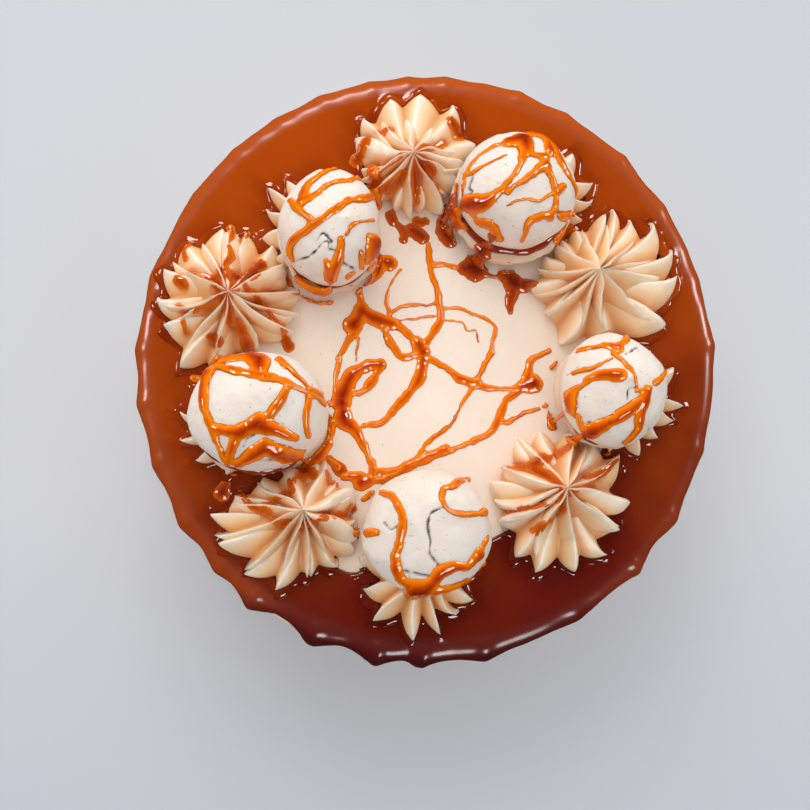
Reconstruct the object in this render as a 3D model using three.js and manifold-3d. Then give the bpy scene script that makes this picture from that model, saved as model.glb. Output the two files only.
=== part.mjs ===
// A whole round layer cake: a cream-coated body, a caramel glaze that covers the outer
// ring of the top and drips down the side, ten piped cream rosettes and five baked
// meringues, one on every second rosette. Millimetres, +Z up, origin at the centre of
// the flat underside.

import * as THREE from 'three';
import * as BufferGeometryUtils from 'three/addons/utils/BufferGeometryUtils.js';
import Module from 'manifold-3d';

// Driving dimensions
const CAKE_HEIGHT = 70;
const BODY_RADIUS = 105.6;
const BODY_OVAL = 1.4;
const BODY_OVAL_ANGLE = 75;
const GAP = 0.3;

// Cream body, with a shallow recess round its top that holds the glaze
const BODY_SEGMENTS = 56;
const SHOULDER_RADIUS = 5;
const GLAZE_RECESS = 1.4;
const RECESS_HEIGHT = CAKE_HEIGHT - GLAZE_RECESS;
const GLAZE_INNER_RADIUS = 64;
const GLAZE_INNER_GAP = 0.45;
const SHOULDER_BEND = SHOULDER_RADIUS * (1 - Math.SQRT1_2);
const SIDE_TOP = RECESS_HEIGHT - SHOULDER_RADIUS;

// Caramel glaze: a level top, a rounded lip, and a thin edge between the drips
const LIP_INSET = 5.5;
const LIP_DROP = 0.3;
const SHOULDER_INSET = 1.3;
const SHOULDER_DROP = 2;
const EDGE_BULGE = 0.1;
const EDGE_END = CAKE_HEIGHT - 7.4;
const EDGE_THICKNESS = 0.15;
const EDGE_ROUND = 0.1;
const DRIP_THICKNESS = 0.2;
const DRIP_ROUND = 3;
const ROUND_SHARE = 0.3;
const TOP_THICKNESS = 0.3;
const TOP_BULGE_SHARE = 0.9;
const DRIP_STEPS = [-1, -0.8, -0.3, 0.3, 0.8];
const EDGE_STEP = 5;

// Each drip: direction in degrees, half width in degrees, bulge past the cream, length
const DRIPS = [
  [4, 5.0, 2.2, 31], [18, 5.5, 1.2, 22], [34, 5.6, 1.8, 38], [47, 4.6, 2.4, 27],
  [62, 5.0, 2.0, 19], [72, 4.4, 2.1, 34], [87, 4.2, 1.6, 25], [95, 3.6, 1.4, 16],
  [103, 3.8, 1.3, 30], [113, 4.6, 1.4, 21], [123, 4.4, 1.2, 36], [134, 4.4, 1.3, 18],
  [146, 5.4, 1.2, 28], [164, 5.4, 1.6, 33], [179, 5.2, 1.9, 23], [190, 4.6, 1.8, 40],
  [202, 4.4, 1.2, 17], [214, 4.8, 1.6, 29], [225, 4.0, 1.5, 20], [234, 4.2, 3.0, 35],
  [247, 4.6, 2.9, 24], [259, 4.2, 3.2, 42], [268, 3.8, 2.4, 18], [280, 5.2, 2.2, 32],
  [299, 5.4, 1.2, 26], [314, 3.8, 2.2, 37], [327, 5.2, 2.0, 21], [342, 4.8, 1.3, 30],
];

// Rosettes: where the tip stands, height, and each blade's direction and reach
const ROSETTES = {
  rosette_01: {
    tip: [-9.9, 67.5], height: 24,
    blades: [[4, 22], [24, 29], [53, 32], [79, 31], [104, 29], [134, 25], [158, 22],
      [187, 17], [230, 16], [275, 18], [296, 20], [336, 19]],
  },
  rosette_02: {
    tip: [36, 60], height: 15,
    blades: [[14, 24], [46, 24], [75, 21], [105, 20], [140, 19], [175, 20], [210, 20],
      [240, 19], [270, 18], [300, 17], [330, 21], [352, 24]],
  },
  rosette_03: {
    tip: [54.6, 27.5], height: 25,
    blades: [[16, 37], [35, 37], [50, 31], [63, 31], [76, 28], [96, 21], [122, 18],
      [162, 18], [184, 20], [219, 18], [253, 24], [290, 22], [330, 34], [359, 37]],
  },
  rosette_04: {
    tip: [66, -14], height: 15,
    blades: [[24, 24], [55, 21], [90, 20], [125, 21], [160, 21], [195, 20], [230, 20],
      [262, 20], [288, 22], [313, 21], [336, 23], [353, 25]],
  },
  rosette_05: {
    tip: [42, -47.9], height: 24,
    blades: [[23, 28], [47, 23], [74, 22], [100, 21], [127, 23], [157, 20], [176, 23],
      [213, 22], [241, 28], [259, 30], [283, 30], [306, 30], [326, 27], [348, 29]],
  },
  rosette_06: {
    tip: [-6, -75], height: 15,
    blades: [[231, 24], [260, 25], [287, 24], [308, 20], [328, 22], [0, 21], [32, 20],
      [65, 20], [100, 20], [135, 20], [170, 20], [205, 21]],
  },
  rosette_07: {
    tip: [-46.1, -55.8], height: 25,
    blades: [[13, 19], [66, 19], [105, 16], [146, 18], [167, 25], [184, 32], [204, 33],
      [229, 31], [257, 28], [276, 22], [297, 17], [322, 20], [347, 20]],
  },
  rosette_08: {
    tip: [-66, -24], height: 15,
    blades: [[181, 23], [200, 24], [222, 22], [252, 20], [285, 19], [318, 18], [350, 20],
      [22, 20], [55, 20], [90, 21], [122, 21], [152, 22]],
  },
  rosette_09: {
    tip: [-72, 16.4], height: 25,
    blades: [[9, 25], [31, 24], [54, 29], [80, 28], [98, 30], [128, 28], [153, 27],
      [178, 26], [203, 24], [236, 28], [256, 24], [298, 18], [328, 24], [349, 24]],
  },
  rosette_10: {
    tip: [-42, 45], height: 15,
    blades: [[120, 21], [141, 23], [162, 20], [190, 20], [222, 20], [255, 20], [288, 19],
      [320, 20], [350, 20], [20, 19], [52, 19], [88, 21]],
  },
};

// Height share, reach share and valley depth of the rosette's sections, base to tip
const STAR_SECTIONS = [
  [0, 0.84, 0.78], [0.1, 0.99, 0.72], [0.26, 0.9, 0.7], [0.45, 0.68, 0.7],
  [0.66, 0.42, 0.7], [0.86, 0.19, 0.74],
];
const STAR_STEPS = [0, 0.34, 0.66];
const PRESSED_SECTIONS = [[0, 0.84, 0.78], [0.18, 0.99, 0.72], [0.5, 0.9, 0.7], [0.8, 0.62, 0.7]];
const PRESSED_STEPS = [0, 0.5];
const PRESSED_BELOW = 20;
const VALLEY_POWER = 1.7;
const TIP_EVENNESS = 0.6;

// Meringues: centre, underside height, half widths, height, peak offset and lean
const MERINGUES = {
  meringue_02: {
    at: [28.8, 59.3], base: 80, half: [21.6, 21.6], height: 27, peak: [-3, -4], lean: [12, 235],
  },
  meringue_04: {
    at: [60.8, -13.9], base: 79.5, half: [19, 20.2], height: 26, peak: [1, 2], lean: [5, 170],
  },
  meringue_06: {
    at: [-4.6, -64.6], base: 78, half: [22.3, 21.3], height: 26, peak: [3, 10], lean: [8, 88],
  },
  meringue_08: {
    at: [-62.7, -23.4], base: 79, half: [23.9, 20], height: 29, peak: [8, 5], lean: [4, 20],
  },
  meringue_10: {
    at: [-39, 42.9], base: 79.5, half: [18, 21.2], height: 27, peak: [5, -2], lean: [8, 315],
  },
};
const MERINGUE_SEGMENTS = 20;
const MERINGUE_SECTIONS = [
  [0, 0.78], [0.1, 0.94], [0.26, 1], [0.46, 0.95], [0.66, 0.8], [0.83, 0.54], [0.94, 0.28],
];

const radians = THREE.MathUtils.degToRad;
const lerp = THREE.MathUtils.lerp;

const wasm = await Module();
wasm.setup();

// A closed skin over rings of points. Rings run anticlockwise seen from outside the last
// one; the first and last ring are closed with a fan to their middle, or to lastPoint.
function skinRings(rings, lastPoint = null) {
  const count = rings[0].length;
  const points = rings.flat();
  const faces = [];
  for (let k = 0; k + 1 < rings.length; k += 1) {
    for (let i = 0; i < count; i += 1) {
      const j = (i + 1) % count;
      const [a, b, c, d] = [k * count + i, k * count + j, (k + 1) * count + j, (k + 1) * count + i];
      faces.push(a, b, c, a, c, d);
    }
  }
  const middle = (ring) => ring.reduce((sum, p) => sum.add(p), new THREE.Vector3()).divideScalar(count);
  points.push(middle(rings[0]), lastPoint ?? middle(rings[rings.length - 1]));
  const [first, last] = [points.length - 2, points.length - 1];
  const top = (rings.length - 1) * count;
  for (let i = 0; i < count; i += 1) {
    const j = (i + 1) % count;
    faces.push(first, j, i, last, top + i, top + j);
  }
  return indexed(points, faces);
}

// A closed ring-shaped skin over sections that run once round the cake.
function skinLoop(sections) {
  const size = sections[0].length;
  const faces = [];
  for (let i = 0; i < sections.length; i += 1) {
    const next = (i + 1) % sections.length;
    for (let k = 0; k < size; k += 1) {
      const up = (k + 1) % size;
      const [a, b, c, d] = [i * size + k, next * size + k, next * size + up, i * size + up];
      faces.push(a, b, c, a, c, d);
    }
  }
  return indexed(sections.flat(), faces);
}

function indexed(points, faces) {
  const geometry = new THREE.BufferGeometry().setFromPoints(points);
  geometry.setIndex(faces);
  return geometry;
}

function toSolid(geometry) {
  const bare = geometry.clone();
  bare.deleteAttribute('normal');
  bare.deleteAttribute('uv');
  const merged = BufferGeometryUtils.mergeVertices(bare, 1e-4);
  const mesh = new wasm.Mesh({
    numProp: 3,
    vertProperties: new Float32Array(merged.attributes.position.array),
    triVerts: new Uint32Array(merged.index.array),
  });
  return new wasm.Manifold(mesh);
}

// The largest connected piece of a solid, as three.js geometry.
function toGeometry(solid) {
  const largest = solid.decompose().sort((a, b) => b.volume() - a.volume())[0];
  const mesh = largest.getMesh();
  const geometry = new THREE.BufferGeometry();
  geometry.setAttribute('position', new THREE.BufferAttribute(mesh.vertProperties, 3));
  geometry.setIndex(new THREE.BufferAttribute(mesh.triVerts, 1));
  return geometry;
}

function polar(radius, degrees, z, centre = [0, 0]) {
  const angle = radians(degrees);
  return new THREE.Vector3(centre[0] + radius * Math.cos(angle), centre[1] + radius * Math.sin(angle), z);
}

// The slightly oval outline of the cream side.
function bodyRadius(degrees) {
  return BODY_RADIUS + BODY_OVAL * Math.cos(radians(2 * (degrees - BODY_OVAL_ANGLE)));
}

// The cream body: a straight side, a rounded shoulder, the recess and the raised middle.
function bodyGeometry() {
  const ring = (radiusAt, z) => Array.from({ length: BODY_SEGMENTS }, (_, i) => {
    const degrees = i * 360 / BODY_SEGMENTS;
    return polar(radiusAt(degrees), degrees, z);
  });
  return skinRings([
    ring(bodyRadius, 0),
    ring(bodyRadius, SIDE_TOP),
    ring((degrees) => bodyRadius(degrees) - SHOULDER_BEND, RECESS_HEIGHT - SHOULDER_BEND),
    ring((degrees) => bodyRadius(degrees) - SHOULDER_RADIUS, RECESS_HEIGHT),
    ring(() => GLAZE_INNER_RADIUS, RECESS_HEIGHT),
    ring(() => GLAZE_INNER_RADIUS, CAKE_HEIGHT),
  ]);
}

// One section of the glaze: its back follows the cream a gap away from it, its front
// bulges past the cream, and both end at the given height.
function glazeSection(degrees, bulge, end) {
  const outer = bodyRadius(degrees);
  const inner = GLAZE_INNER_RADIUS + GLAZE_INNER_GAP;
  const shoulder = CAKE_HEIGHT - SHOULDER_DROP;
  const run = shoulder - end;
  const section = [
    [inner, CAKE_HEIGHT],
    [inner, RECESS_HEIGHT + GAP],
    [outer - SHOULDER_RADIUS, RECESS_HEIGHT + GAP],
    [outer - SHOULDER_BEND + GAP, RECESS_HEIGHT - SHOULDER_BEND + GAP],
    [outer + GAP, SIDE_TOP],
    [outer + GAP, end],
    [outer + GAP + EDGE_THICKNESS + bulge / 2, end + EDGE_ROUND],
    [outer + GAP + DRIP_THICKNESS + bulge, end + Math.min(DRIP_ROUND, ROUND_SHARE * run)],
    [outer + GAP + TOP_THICKNESS + TOP_BULGE_SHARE * bulge, SIDE_TOP + GAP],
    [outer + bulge - SHOULDER_INSET, shoulder],
    [outer - LIP_INSET, CAKE_HEIGHT - LIP_DROP],
  ];
  return section.map(([radius, z]) => polar(radius, degrees, z));
}

function glazeGeometry() {
  const sections = [];
  DRIPS.forEach(([centre, half, bulge, length], n) => {
    for (const step of DRIP_STEPS) {
      const round = Math.sqrt(1 - step * step);
      const swell = 1 - step * step;
      const degrees = centre + step * half;
      const end = lerp(EDGE_END, CAKE_HEIGHT - length, round);
      sections.push(glazeSection(degrees, lerp(EDGE_BULGE, bulge, swell), end));
    }
    const next = DRIPS[(n + 1) % DRIPS.length];
    const turn = n + 1 === DRIPS.length ? 360 : 0;
    const space = next[0] - next[1] + turn - (centre + half);
    const fills = space > 1 ? Math.ceil(space / EDGE_STEP) : 0;
    for (let k = 0; k < fills; k += 1) {
      sections.push(glazeSection(centre + half + k * space / fills, EDGE_BULGE, EDGE_END));
    }
  });
  return skinLoop(sections);
}

// How far a rosette may reach in a direction before it meets the neighbour beside it.
function reachLimit(name, degrees) {
  const names = Object.keys(ROSETTES);
  const here = names.indexOf(name);
  const [x, y] = ROSETTES[name].tip;
  let limit = Infinity;
  for (const step of [-1, 1]) {
    const other = ROSETTES[names[(here + step + names.length) % names.length]].tip;
    const apart = Math.hypot(other[0] - x, other[1] - y);
    const towards = Math.atan2(other[1] - y, other[0] - x);
    const share = Math.cos(radians(degrees) - towards);
    if (share > 0) limit = Math.min(limit, (apart - GAP) / 2 / share);
  }
  return limit;
}

// A piped star: blades that run together at the tip, with hollow valleys between them.
function rosetteGeometry(name) {
  const { tip, height, blades } = ROSETTES[name];
  const sorted = [...blades].sort((a, b) => a[0] - b[0]);
  const mean = sorted.reduce((sum, blade) => sum + blade[1], 0) / sorted.length;
  const pressed = height < PRESSED_BELOW;
  const sections = pressed ? PRESSED_SECTIONS : STAR_SECTIONS;
  const steps = pressed ? PRESSED_STEPS : STAR_STEPS;
  const base = CAKE_HEIGHT + GAP;
  const rings = sections.map(([rise, share, valley]) => sorted.flatMap(([degrees, reach], i) => {
    const [following, nextReach] = sorted[(i + 1) % sorted.length];
    const span = (following - degrees + 360) % 360;
    return steps.map((step) => {
      const away = 1 - Math.abs(1 - 2 * step);
      const ridge = valley + (1 - valley) * (1 - away) ** VALLEY_POWER;
      const blended = lerp(lerp(reach, nextReach, step), mean, TIP_EVENNESS * rise * rise);
      const angle = degrees + step * span;
      const radius = Math.min(share * ridge * blended, reachLimit(name, angle));
      return polar(radius, angle, base + rise * height, tip);
    });
  }));
  return skinRings(rings, new THREE.Vector3(tip[0], tip[1], base + height));
}

// A baked meringue: a flat underside, a full round flank and a peak pulled to one side.
function meringueGeometry({ at, base, half, height, peak, lean }, grow = 0) {
  const tilt = new THREE.Matrix4().makeRotationAxis(
    new THREE.Vector3(-Math.sin(radians(lean[1])), Math.cos(radians(lean[1])), 0),
    radians(lean[0]),
  );
  const place = (x, y, z) => new THREE.Vector3(x, y, z)
    .applyMatrix4(tilt)
    .add(new THREE.Vector3(at[0], at[1], base));
  const rings = MERINGUE_SECTIONS.map(([rise, share]) => {
    const drift = rise ** 3;
    const z = rise === 0 ? -grow : rise * height;
    return Array.from({ length: MERINGUE_SEGMENTS }, (_, i) => {
      const angle = 2 * Math.PI * i / MERINGUE_SEGMENTS;
      const x = drift * peak[0] + (share * half[0] + grow) * Math.cos(angle);
      const y = drift * peak[1] + (share * half[1] + grow) * Math.sin(angle);
      return place(x, y, z);
    });
  });
  return skinRings(rings, place(peak[0], peak[1], height + grow));
}

function named(name, geometry, material) {
  const mesh = new THREE.Mesh(geometry, material);
  mesh.name = name;
  return mesh;
}

const creamCoat = new THREE.MeshStandardMaterial({ color: 0xf6e3cb, roughness: 0.6, metalness: 0 });
const caramel = new THREE.MeshStandardMaterial({ color: 0x9a3f10, roughness: 0.12, metalness: 0 });
const pipedCream = new THREE.MeshStandardMaterial({ color: 0xecc9a0, roughness: 0.55, metalness: 0 });
const bakedMeringue = new THREE.MeshStandardMaterial({ color: 0xf4ebe0, roughness: 0.85, metalness: 0 });

const cake = new THREE.Group();
cake.add(named('cake_body', bodyGeometry(), creamCoat));
cake.add(named('caramel_glaze', glazeGeometry(), caramel));

const seats = Object.values(MERINGUES)
  .map((meringue) => toSolid(meringueGeometry(meringue, GAP)))
  .reduce((all, solid) => all.add(solid));
for (const name of Object.keys(ROSETTES)) {
  const seated = toSolid(rosetteGeometry(name)).subtract(seats);
  cake.add(named(name, toGeometry(seated), pipedCream));
}
for (const [name, meringue] of Object.entries(MERINGUES)) {
  cake.add(named(name, meringueGeometry(meringue), bakedMeringue));
}

export default cake;
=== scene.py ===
"""Round caramel layer cake: a cream-coated body, a caramel glaze round the top that drips
down the side, ten piped cream rosettes, five baked meringues and a thin caramel drizzle."""

import math

import bpy
import numpy as np
from mathutils import Matrix, Vector
from mathutils.bvhtree import BVHTree


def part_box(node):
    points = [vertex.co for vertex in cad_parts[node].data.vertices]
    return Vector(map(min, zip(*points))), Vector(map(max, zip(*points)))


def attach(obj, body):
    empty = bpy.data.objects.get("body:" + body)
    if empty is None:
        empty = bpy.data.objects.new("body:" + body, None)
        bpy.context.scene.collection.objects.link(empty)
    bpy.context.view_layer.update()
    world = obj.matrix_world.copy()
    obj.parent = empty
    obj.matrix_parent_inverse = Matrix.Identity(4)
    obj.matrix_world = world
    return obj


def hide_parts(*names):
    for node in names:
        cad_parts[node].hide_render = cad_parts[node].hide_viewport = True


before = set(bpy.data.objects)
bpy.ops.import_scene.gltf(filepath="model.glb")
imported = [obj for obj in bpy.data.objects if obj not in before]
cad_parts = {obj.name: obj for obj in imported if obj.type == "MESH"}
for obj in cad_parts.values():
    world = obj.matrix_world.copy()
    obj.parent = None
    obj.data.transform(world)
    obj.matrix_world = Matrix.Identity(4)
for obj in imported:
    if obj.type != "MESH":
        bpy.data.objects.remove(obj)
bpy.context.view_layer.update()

MM = 0.001


def box_mm(node):
    """Lowest and highest corner of a CAD node, in millimetres."""
    low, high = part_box(node)
    return np.array(low) / MM, np.array(high) / MM


# ---- sizes, in millimetres

body_low, body_high = box_mm("cake_body")
CAKE_TOP = body_high[2]
BODY_RADIUS = (body_high[0] + body_high[1] - body_low[0] - body_low[1]) / 4
BODY_OVAL = 1.4
BODY_OVAL_ANGLE = math.radians(75)
# The shoulder's rounding, and about how far along the skin it ends and the side starts
SHOULDER = 5.0
SHOULDER_ARC = SHOULDER * math.pi / 2
SIDE_START = 7.85
FOOT_ROUND = 1.5
# The glaze lies on a floor just under the raised cream centre, with a lip along its inner edge
GLAZE_FLOOR = CAKE_TOP - 0.8
GLAZE_INNER = 66.0
GLAZE_DEPTH = 1.25
LIP = 0.85
STEP_WIDTH = 2.5
# How wide the glaze's rounded edges are, and how far its underside lies in the cream
GLAZE_EDGE = 3.2
INNER_EDGE = 1.5
GLAZE_SINK = 0.3
# How far it reaches over the shoulder between drips and stands out there, and the fillet
# between that cap and the drips
CAP_REACH = 5.6
CAP_BULGE = 1.1
DRIP_FILLET = 5.0
COLLAR_LEVEL = GLAZE_FLOOR + GLAZE_DEPTH - 0.1
COLLAR_THICKNESS = 1.75
COLLAR_SQUASH = 0.52
# Rosettes stand just over the glaze's floor, and no blade reaches further out than this
ROSETTE_FLOOR = GLAZE_FLOOR + 0.3
LONGEST_REACH = 35
# Where cream shows further out, between two rosettes at the front: degrees, mm, degrees
BARE_DIRECTION = 245
BARE_REACH = 13.5
BARE_SPREAD = 9.0
# The drizzle's height over what it lies on, its edge and its sunk part
STRAND_HEIGHT = 0.6
SOAKED_HEIGHT = 0.2
STRAND_EDGE = 1.6
STRAND_SINK = 0.45
# A strand's half width is multiplied, trimmed and kept from getting too thin; its line wanders
FULLNESS = 1.3
CENTRE_FULLNESS = 1.1
TRIM = 0.18
THINNEST = 0.36
WANDER = 0.26
STRAND_FILLET = 0.9
# The spacing of the points that the drizzle is built from, and the slope where it thins out
SPACING = 0.35
STEEP = 4.5
# Depths that stand for "nowhere near" and "no edge here", and how far a thin edge is sunk in
FAR_OUT = -9.0
NO_EDGE = 99.0
EDGE_SINK = 0.05

# ---- light, gloss and colour

ROOM_COLOUR = (0.97, 0.98, 1.0, 1)
ROOM_LIGHT = 0.68
ROOM_DARKEST = 0.25
ROOM_SLOPE = (-0.06, 0.34, 0.34)
ROOM_REFLECTION = 0.03
WINDOW_POWER = 5.6
# Small lights that only show as highlights: place and size in metres, power
GLINTS = [
    ((-0.12, 0.8, 0.9), 0.27, 4.2), ((0.95, 0.3, 0.65), 0.34, 7.5), ((-0.9, 0.25, 0.6), 0.27, 5.0),
    ((0.3, -0.8, 0.75), 0.42, 9.0)]
# The camera's tilt off straight down, which way on plan it leans, and its place in metres
CAMERA_TILT = math.radians(9.8)
CAMERA_LEAN = (0.585, 0.811)
CAMERA_PLACE = (-0.05024, -0.07259, 0.46383)
GLAZE_ROUGHNESS = 0.07
SHOULDER_ROUGHNESS = 0.24
# Caramel is at its darkest this many millimetres in; down the drips the rim's colour, painted shade and
# all, gives way to an even orange over this many metres
DEEP_END = 3.2
DRIP_SHADE_FADE = 0.02
BLACK, WHITE = (0, 0, 0), (255, 255, 255)
# Kinds of caramel, with their colours from a strand's edge (0) to its depth (1)
CARAMELS = {
    # The drizzle's edge colour is darker than just inside it: painted shade for the dark outline at a
    # strand's edge.
    "drizzle": {
        0: (206, 90, 0), 0.14: (250, 138, 4), 0.32: (244, 116, 0), 0.6: (206, 72, 0), 1: (146, 38, 0)},
    "soaked": {0: (222, 126, 30), 0.2: (218, 102, 8), 0.5: (192, 76, 4), 1: (150, 48, 3)},
    "pool": {0: (196, 92, 10), 0.25: (198, 80, 12), 0.6: (162, 54, 12), 1: (120, 30, 12)},
}

# ---- places and outlines

# Each drip: direction in degrees, half width in degrees, bulge past the cream, length
DRIPS = [
    (4, 5.0, 2.2, 31), (18, 5.5, 1.2, 22), (34, 5.6, 1.8, 38), (47, 4.6, 2.4, 27),
    (62, 5.0, 2.0, 19), (72, 4.4, 2.1, 34), (87, 4.2, 1.6, 25), (95, 3.6, 1.4, 16),
    (103, 3.8, 1.3, 30), (113, 4.6, 1.4, 21), (123, 4.4, 1.2, 36), (134, 4.4, 1.3, 18),
    (146, 5.4, 1.2, 28), (164, 5.4, 1.6, 33), (179, 5.2, 1.9, 23), (190, 4.6, 1.8, 40),
    (202, 4.4, 1.2, 17), (214, 4.8, 1.6, 29), (225, 4.0, 1.5, 20), (234, 4.2, 3.0, 35),
    (247, 4.6, 2.9, 24), (259, 4.2, 3.2, 42), (268, 3.8, 2.4, 18), (280, 5.2, 2.2, 32),
    (299, 5.4, 1.2, 26), (314, 3.8, 2.2, 37), (327, 5.2, 2.0, 21), (342, 4.8, 1.3, 30),
]

# Each rosette: its tip from the middle of its box, its lower blades and its upper ones. A
# blade has a direction and a reach, and may have how blunt it is (0 to 1) and how many
# degrees its crest bows
ROSETTES = {
    "rosette_01": ((-2.5, -6.1), [
        (0, 20), (24, 29), (53, 32), (79, 31), (104, 29), (134, 26), (155, 21), (187, 16),
        (220, 14), (250, 15), (290, 16), (325, 16)], [
        (2, 22, 0.8, 12), (30, 22, 0.5, -8), (62, 20, 0.5), (92, 20, 0.5), (122, 20, 0.5),
        (160, 22, 0.8, -10), (195, 17, 0.4), (230, 16, 0.7, -17), (275, 18, 0.3, -5),
        (296, 20, 0, 14), (336, 19, 0.6, 18)]),
    "rosette_02": ((-1.9, -1.1), [
        (14, 24), (46, 24), (75, 21), (105, 20), (140, 19), (175, 20), (210, 20),
        (240, 19), (270, 18), (300, 17), (330, 21), (352, 24)], []),
    "rosette_03": ((-8.4, -2.3), [
        (16, 37), (35, 37), (50, 31), (63, 31), (76, 28), (96, 21), (122, 17), (150, 17),
        (184, 20), (219, 18), (253, 24), (290, 22), (330, 34), (359, 37)], [
        (0, 30, 0, 6), (22, 28, 0, -4), (44, 25, 0, -8), (66, 24, 0, -6), (90, 20, 0.2),
        (122, 18, 0, 10), (162, 18, 0, 12), (196, 18, 0.3, 8), (222, 18, 0.3, 4), (258, 19, 0.3),
        (292, 20, 0.2, -4), (330, 30, 0, -4)]),
    "rosette_04": ((-2.5, 0.4), [
        (24, 24), (55, 21), (90, 20), (125, 21), (160, 21), (195, 20), (230, 20),
        (262, 20), (288, 22), (313, 21), (336, 23), (353, 25)], []),
    "rosette_05": ((-2.7, 4.1), [
        (23, 28), (47, 23), (74, 21), (100, 21), (127, 22), (155, 20), (176, 23), (213, 22),
        (241, 27), (259, 29), (283, 29), (306, 30), (330, 26), (350, 25)], [
        (20, 24, 0), (50, 20, 0.2), (74, 22, 0), (127, 23, 0, -8), (157, 20, 0.5, 4),
        (190, 21, 0.7, 8), (222, 22, 0.7, -8), (256, 24, 0.5, -7), (283, 27, 0, 3), (324, 27, 0, 5),
        (348, 29, 0.7, 8)]),
    "rosette_06": ((-0.6, 2.4), [
        (231, 24), (260, 25), (287, 24), (308, 20), (328, 22), (0, 21), (32, 20),
        (65, 20), (100, 20), (135, 20), (170, 20), (205, 21)], []),
    "rosette_07": ((6.1, 4.9), [
        (347, 18), (13, 18), (40, 16), (66, 18), (105, 15), (146, 18), (167, 24), (184, 32),
        (204, 31), (229, 29), (257, 28), (280, 22), (301, 22), (322, 22)], [
        (13, 19, 0.8, 10), (66, 19, 0), (110, 15, 0.4), (146, 18, 0, 4), (171, 24, 0, 8),
        (204, 33, 0, -6), (229, 29, 0, -2), (257, 24, 0.3, -6), (276, 22, 0), (297, 17, 0.5, 4),
        (324, 20, 0.8, 12)]),
    "rosette_08": ((1.6, -0.8), [
        (181, 23), (200, 24), (222, 22), (252, 20), (285, 19), (318, 18), (350, 20),
        (22, 20), (55, 20), (90, 21), (122, 21), (152, 22)], []),
    "rosette_09": ((0.6, -3.3), [
        (9, 24), (31, 22), (54, 27), (80, 27), (98, 29), (128, 28), (153, 27), (178, 26),
        (203, 24), (236, 28), (256, 24), (298, 17), (328, 22), (349, 22)], [
        (9, 25, 0.4), (31, 24, 0.8, 10), (60, 22, 0.6, -8), (89, 28, 0.8, 4), (122, 24, 0.2, -12),
        (153, 26, 0, -8), (180, 23, 0.3, 10), (205, 22, 0, -6), (236, 24, 0.5, -8), (262, 20, 0.3, -6),
        (298, 18, 0, 4), (328, 24, 0.5, 5), (349, 24, 0.5)]),
    "rosette_10": ((0.0, -0.8), [
        (120, 21), (141, 23), (162, 20), (190, 20), (222, 20), (255, 20), (288, 19),
        (320, 20), (350, 20), (20, 19), (52, 19), (88, 21)], []),
}
# How blunt a blade is and how it bows where its entry doesn't say
PLAIN_BLADE = (0.35, 0)
# How much the grooves lean to one side, as the crests fold over, and how round a crest's edge is
FOLD = 0.24
CREST_ROUND = 0.03

# Side views of a blade's crest and of a groove's floor: share of the reach, share of the height
STAR_CREST = [
    (0.70, 0.02), (0.88, 0.06), (0.98, 0.12), (1.0, 0.18), (0.94, 0.27), (0.80, 0.39),
    (0.61, 0.55), (0.41, 0.71), (0.21, 0.87), (0.07, 0.96), (0.0, 1.0)]
STAR_GROOVE = [
    (0.50, 0.02), (0.56, 0.06), (0.60, 0.10), (0.60, 0.15), (0.55, 0.24), (0.46, 0.36),
    (0.35, 0.50), (0.23, 0.65), (0.125, 0.80), (0.045, 0.91), (0.0, 0.98)]
SKIRT_CREST = [
    (0.92, 0.0), (0.98, 0.04), (1.0, 0.09), (0.98, 0.16), (0.90, 0.25), (0.76, 0.33),
    (0.60, 0.40), (0.42, 0.45), (0.24, 0.48), (0.10, 0.50), (0.0, 0.50)]
SKIRT_GROOVE = [
    (0.78, 0.0), (0.82, 0.03), (0.83, 0.07), (0.81, 0.13), (0.75, 0.20), (0.64, 0.27),
    (0.51, 0.34), (0.36, 0.39), (0.21, 0.42), (0.09, 0.44), (0.0, 0.44)]
PRESSED_CREST = [
    (0.90, 0.0), (0.97, 0.06), (1.0, 0.16), (0.98, 0.30), (0.92, 0.45), (0.82, 0.60),
    (0.68, 0.74), (0.52, 0.86), (0.34, 0.94), (0.16, 0.99), (0.0, 1.0)]
PRESSED_GROOVE = [
    (0.66, 0.0), (0.69, 0.05), (0.70, 0.13), (0.68, 0.25), (0.63, 0.38), (0.55, 0.52),
    (0.45, 0.66), (0.34, 0.79), (0.22, 0.89), (0.11, 0.96), (0.0, 1.0)]

# Each meringue: its peak from the middle of its box, the size of the nub on the peak, and how
# far its foot stands out and in which direction it does so most
MERINGUES = {
    "meringue_02": ((-3, -4), 2.2, 5.2, 250),
    "meringue_04": ((1, 2), 2.0, 1.6, 200),
    "meringue_06": ((3, 10), 3.4, 0.8, 250),
    "meringue_08": ((8, 5), 3.6, 1.6, 290),
    "meringue_10": ((5, -2), 3.0, 2.6, 270),
}
MERINGUE_SIDE = [
    (0.50, 0.0), (0.80, 0.01), (0.93, 0.05), (0.955, 0.10), (0.95, 0.14), (0.955, 0.19), (0.99, 0.28),
    (0.99, 0.40), (0.93, 0.54), (0.82, 0.68), (0.66, 0.80), (0.46, 0.90), (0.24, 0.965), (0.0, 1.0)]
# The groove over the foot: its share of the height, and its depth
FOOT_GROOVE = 0.17
TRENCH_DEPTH = 1.3
NUB_HEIGHT = 1.2
# The shell lies a little inside the plain solid, so that its lumps stay near it
SHELL_INSET = 0.3
CRACK_WIDTH = 0.26
CRACK_DEPTH = 0.9
# The caramel gathered in those grooves: its height over the foot, and its height for its width
BEAD_HEIGHT = 4.6
BEAD_SQUASH = 0.8
# Where it has gathered: from and to directions, and its half thickness
GATHERED = {
    "meringue_02": (206, 318, 1.7), "meringue_04": (196, 262, 1.2), "meringue_06": (236, 292, 1.3),
    "meringue_08": (206, 318, 1.5), "meringue_10": (216, 322, 1.3),
}

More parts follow.
